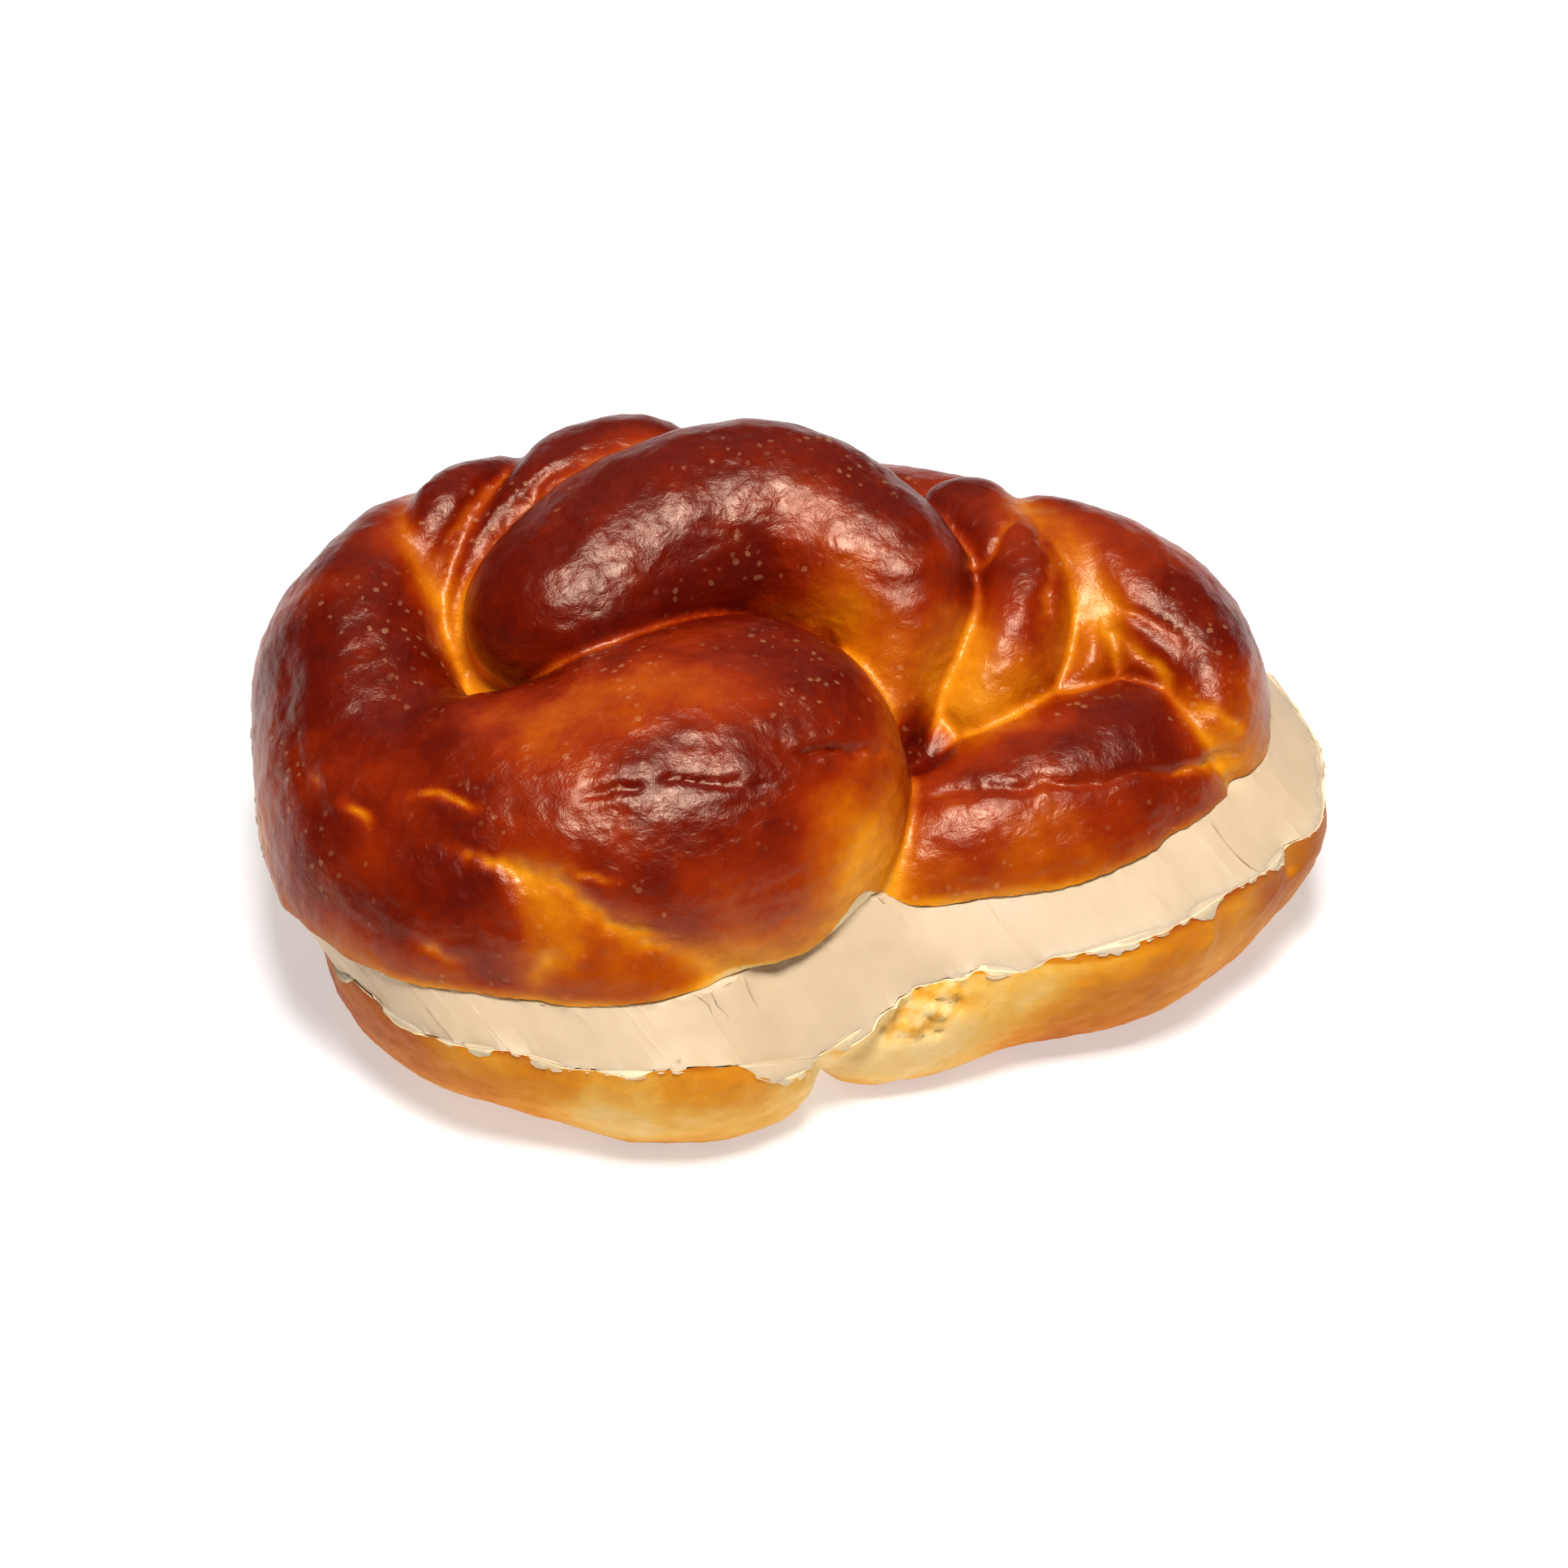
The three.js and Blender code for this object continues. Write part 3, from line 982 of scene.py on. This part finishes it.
def crumb_pores_group() -> bpy.types.NodeTree:
    """Builds the group that gives soft inner textures: pores and specks."""
    tree, given, result = group_tree("crumb_pores", "Size", ("Pores", "Cloud", "Specks"))
    wire = Wire(tree)
    place = wire.node("TexCoord").outputs["Object"]
    scaled = wire.node("VectorMath", operation="SCALE")
    wire.join(place, scaled.inputs[0])
    wire.join(given.outputs["Size"], scaled.inputs["Scale"])
    cells = wire.node("TexVoronoi", Vector=scaled.outputs[0], Scale=420.0, Randomness=1.0)
    pores = wire.node("MapRange", Value=cells.outputs["Distance"], From_Min=0.1, From_Max=0.5)
    cloud = wire.node("TexNoise", Vector=scaled.outputs[0], Scale=160.0, Detail=5.0, Roughness=0.6)
    seeds = wire.node("TexVoronoi", Vector=scaled.outputs[0], Scale=170.0, Randomness=1.0)
    specks = wire.node("MapRange", Value=seeds.outputs["Distance"], From_Min=0.065, From_Max=0.03)
    wire.join(specks.outputs[0], result.inputs["Specks"])
    wire.join(pores.outputs[0], result.inputs["Pores"])
    wire.join(cloud.outputs[0], result.inputs["Cloud"])
    return tree


BAKE_COLOURS: tuple[tuple[float, Colour], ...] = (
    (0.00, (0.86, 0.62, 0.28)),
    (0.15, (0.82, 0.45, 0.085)),
    (0.28, (0.74, 0.29, 0.012)),
    (0.42, (0.58, 0.175, 0.002)),
    (0.56, (0.43, 0.084, 0.0005)),
    (0.72, (0.28, 0.024, 0.0)),
    (0.88, (0.14, 0.006, 0.0)),
    (1.00, (0.07, 0.001, 0.0)),
)


@dataclass(frozen=True)
class CrustFinish:
    """Baked crust, coloured by how brown each place baked, with painted shade in one hole between the
    strands.

    Attributes:
        name: The material's name.
        roughness: How dull its shine is.
        shine: How strong its shine is.
        relief: How strong its fine folds are.
        mottle: How far its colour varies in small patches.
        blisters: How strongly pale blisters show.
    """

    name: str
    roughness: float
    shine: float
    relief: float
    mottle: float
    blisters: float

    BLISTER_COLOUR, BLISTER_SHARE = (0.80, 0.45, 0.22), 0.45
    SHINE_TINT = (1.0, 0.80, 0.62)
    RELIEF_HEIGHT = 0.4

    def material(self, skin_group: bpy.types.NodeTree) -> bpy.types.Material:
        """Builds the material.

        Args:
            skin_group: The shared group of fine skin.

        Returns:
            The crust's material.
        """
        material = bpy.data.materials.new(self.name)
        material.use_nodes = True
        wire = Wire(material.node_tree)
        shader = material.node_tree.nodes["Principled BSDF"]
        fine = wire.node("Group", node_tree=skin_group, Blisters=self.blisters)
        # The layer read here holds how brown each place baked, with the painted shade of one hole.
        bake_and_shade = wire.node("Attribute", attribute_name="bake_and_shade").outputs["Fac"]
        sway = wire.math("MULTIPLY", wire.math("SUBTRACT", fine.outputs["Mottle"], 0.5), self.mottle)
        level = wire.math("ADD", bake_and_shade, sway, clamp=True)
        colour = wire.ramp(level, BAKE_COLOURS)
        spots = wire.math("MULTIPLY", fine.outputs["Spots"], self.BLISTER_SHARE)
        spotted = wire.blend(spots, colour, self.BLISTER_COLOUR)
        wire.join(spotted, shader.inputs["Base Color"])
        rough = wire.node("MapRange", Value=fine.outputs["Mottle"], From_Min=0.3, From_Max=0.7,
                          To_Min=self.roughness - 0.05, To_Max=self.roughness + 0.07)
        wire.join(rough.outputs[0], shader.inputs["Roughness"])
        bump = wire.node(
            "Bump", Height=fine.outputs["Relief"], Strength=self.relief, Distance=self.RELIEF_HEIGHT * MM)
        wire.join(bump.outputs[0], shader.inputs["Normal"])
        shader.inputs["Specular IOR Level"].default_value = self.shine
        shader.inputs["Specular Tint"].default_value = (*self.SHINE_TINT, 1.0)
        return material


@dataclass(frozen=True)
class SoftFinish:
    """Cream or crumb: pale, soft and porous.

    Attributes:
        name: The material's name.
        colour: Its colour.
        shade: Its darker colour, in clouds.
        roughness: How dull its shine is.
        relief: How strong its pores are.
        pore_size: How much finer than the crumb's its pores are.
        glow: How far light spreads inside it.
        specks: How strongly brown specks show.
    """

    name: str
    colour: Colour
    shade: Colour
    roughness: float
    relief: float
    pore_size: float
    glow: float
    specks: float

    SPECK_COLOUR = (0.42, 0.26, 0.11)
    RELIEF_HEIGHT = 0.4
    GLOW_DEPTH = 2.0

    def material(self, pore_group: bpy.types.NodeTree) -> bpy.types.Material:
        """Builds the material.

        Args:
            pore_group: The shared group of pores and specks.

        Returns:
            The soft material.
        """
        material = bpy.data.materials.new(self.name)
        material.use_nodes = True
        wire = Wire(material.node_tree)
        shader = material.node_tree.nodes["Principled BSDF"]
        pores = wire.node("Group", node_tree=pore_group, Size=self.pore_size)
        share = wire.node("MapRange", Value=pores.outputs["Cloud"], From_Min=0.35, From_Max=0.65)
        colour = wire.blend(share.outputs[0], self.shade, self.colour)
        specks = wire.math("MULTIPLY", pores.outputs["Specks"], self.specks)
        dotted = wire.blend(specks, colour, self.SPECK_COLOUR)
        wire.join(dotted, shader.inputs["Base Color"])
        height = wire.math("ADD", wire.math("MULTIPLY", pores.outputs["Pores"], 0.5), pores.outputs["Cloud"])
        bump = wire.node("Bump", Height=height, Strength=self.relief, Distance=self.RELIEF_HEIGHT * MM)
        wire.join(bump.outputs[0], shader.inputs["Normal"])
        shader.inputs["Roughness"].default_value = self.roughness
        shader.inputs["Subsurface Weight"].default_value = self.glow
        shader.inputs["Subsurface Radius"].default_value = (1.0, 0.6, 0.35)
        shader.inputs["Subsurface Scale"].default_value = self.GLOW_DEPTH * MM
        return material


# ------------------------------------------------------------------------------- the studio
class Softbox(Enum):
    """The studio's lamps: place, size and power, in metres and watts."""

    OVERHEAD = ((0.02, -0.14, 0.70), (0.24, 0.24), 5.7)
    BACK = ((0.0, 0.7, 0.6), (1.0, 0.3), 0.4)


@dataclass
class Studio:
    """A plain white floor, soft lamps and the camera.

    Attributes:
        target: The place that the camera and the lamps look at, in metres.
        elevation: How far above level the camera looks down from, in degrees.
        distance: How far the camera stands from the target, in metres.
        seen_width: How wide a strip the camera sees at the target, in metres.
        floor_white: How much light the floor throws back.
        floor_glow: How much light the floor gives, which keeps the shadow soft.
        sky_light: How much light comes from all round.
    """

    target: tuple[float, float, float]
    elevation: float = 42.0
    distance: float = 0.9
    seen_width: float = 0.19035
    floor_white: float = 0.62
    floor_glow: float = 0.42
    sky_light: float = 0.075

    FLOOR_REACH = 3.0

    def build(self) -> None:
        """Makes the floor, the lamps, the sky and the camera."""
        self.floor()
        for lamp in Softbox:
            self.lamp(lamp)
        self.sky()
        self.camera()

    def floor(self) -> None:
        """Lays the white floor."""
        shape = bmesh.new()
        bmesh.ops.create_grid(shape, x_segments=1, y_segments=1, size=self.FLOOR_REACH)
        mesh = bpy.data.meshes.new("floor")
        shape.to_mesh(mesh)
        shape.free()
        floor = as_object("floor", mesh)
        material = bpy.data.materials.new("floor_white")
        material.use_nodes = True
        shader = material.node_tree.nodes["Principled BSDF"]
        white = self.floor_white
        shader.inputs["Base Color"].default_value = (white, white, white, 1.0)
        shader.inputs["Roughness"].default_value = 0.9
        shader.inputs["Specular IOR Level"].default_value = 0.0
        shader.inputs["Emission Color"].default_value = (1.0, 1.0, 1.0, 1.0)
        shader.inputs["Emission Strength"].default_value = self.floor_glow
        mesh.materials.append(material)

    def lamp(self, lamp: Softbox) -> None:
        """Hangs one softbox, turned towards the roll."""
        place, (wide, deep), power = lamp.value
        light = bpy.data.lights.new(lamp.name.lower(), "AREA")
        light.shape = "RECTANGLE"
        light.size, light.size_y, light.energy = wide, deep, power
        holder = bpy.data.objects.new(light.name, light)
        holder.location = place
        holder.rotation_mode = "QUATERNION"
        holder.rotation_quaternion = (Vector(self.target) - Vector(place)).to_track_quat("-Z", "Y")
        bpy.context.scene.collection.objects.link(holder)

    def sky(self) -> None:
        """Sets a pale even sky."""
        world = bpy.data.worlds.new("studio")
        world.use_nodes = True
        world.node_tree.nodes["Background"].inputs[0].default_value = (1.0, 1.0, 1.0, 1.0)
        world.node_tree.nodes["Background"].inputs[1].default_value = self.sky_light
        bpy.context.scene.world = world
        bpy.context.scene.view_settings.view_transform = "Standard"
        bpy.context.scene.view_settings.look = "Medium High Contrast"

    def camera(self) -> None:
        """Sets the camera in front of the roll, looking down on it."""
        lens = bpy.data.cameras.new("camera")
        lens.sensor_width = 36.0
        lens.lens = lens.sensor_width * self.distance / self.seen_width
        lens.clip_start, lens.clip_end = 0.01, 20.0
        holder = bpy.data.objects.new("camera", lens)
        tilt = math.radians(self.elevation)
        back = Vector((0.0, -math.cos(tilt), math.sin(tilt)))
        holder.location = Vector(self.target) + back * self.distance
        holder.rotation_mode = "QUATERNION"
        holder.rotation_quaternion = (-back).to_track_quat("-Z", "Y")
        bpy.context.scene.collection.objects.link(holder)
        bpy.context.scene.camera = holder


# ------------------------------------------------------------------------------- the build
def roll_origin(roll: BakedRoll) -> Points:
    """Finds where the roll frame's origin lies in the scene, in millimetres.

    Args:
        roll: The roll, whose strands give the plan in its own frame.

    Returns:
        The place of the roll frame's origin.
    """
    reach = []
    for strand in roll.strands:
        middles, side, _, wide, _ = strand.cuts(np.linspace(0, 1, 80))
        reach += [middles + side * wide[:, None], middles - side * wide[:, None]]
    low, high = np.vstack(reach).min(axis=0), np.vstack(reach).max(axis=0)
    lower, upper = (np.array(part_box("upper_half")) / MM)[:, :2]
    slide = np.array(roll.knife.slide)[:2]
    origin = (lower + upper) / 2 - (low[:2] + high[:2]) / 2 - slide
    return np.array([origin[0], origin[1], 0.0])


def main() -> None:
    """Builds the roll's pieces, dresses them and sets the studio."""
    logging.basicConfig(level=logging.INFO, format="%(name)s: %(message)s")
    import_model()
    roll = BakedRoll()
    origin = roll_origin(roll)
    LOG.info("roll frame origin at %s mm", np.round(origin, 2))
    skin = roll.skin()
    LOG.info("skin: %d points", len(skin.vertices))

    cut = CutRoll(skin, roll.knife)
    lower_piece = Half("lower_crust", "lower_half", "golden_crust", keep_upper=False).build(cut, origin)
    upper_piece = Half("upper_crust", "upper_half", "brown_crust", keep_upper=True).build(cut, origin)
    cream_piece = CreamFilling("cream_spread", "cream_filling", "cream").build(cut, origin)

    skin_group, pore_group = baked_skin_group(), crumb_pores_group()
    brown = CrustFinish("brown_crust", 0.315, 0.50, 0.62, 0.36, 0.45).material(skin_group)
    golden = CrustFinish("golden_crust", 0.5, 0.28, 0.65, 0.26, 0.2).material(skin_group)
    crumb = SoftFinish("bread_crumb", (0.90, 0.76, 0.50), (0.80, 0.60, 0.34), 0.85, 0.9, 1.0, 0.1, 0.2)
    cream = SoftFinish("cream_white", (0.68, 0.51, 0.34), (0.64, 0.475, 0.31), 0.6, 0.14, 0.8, 0.25, 0.6)
    crumb_material = crumb.material(pore_group)
    for piece, crust in ((lower_piece, golden), (upper_piece, brown)):
        piece.data.materials.append(crust)
        piece.data.materials.append(crumb_material)
    cream_piece.data.materials.append(cream.material(pore_group))

    Studio(target=(origin[0] * MM, origin[1] * MM, 0.016)).build()


if __name__ == "__main__":
    main()
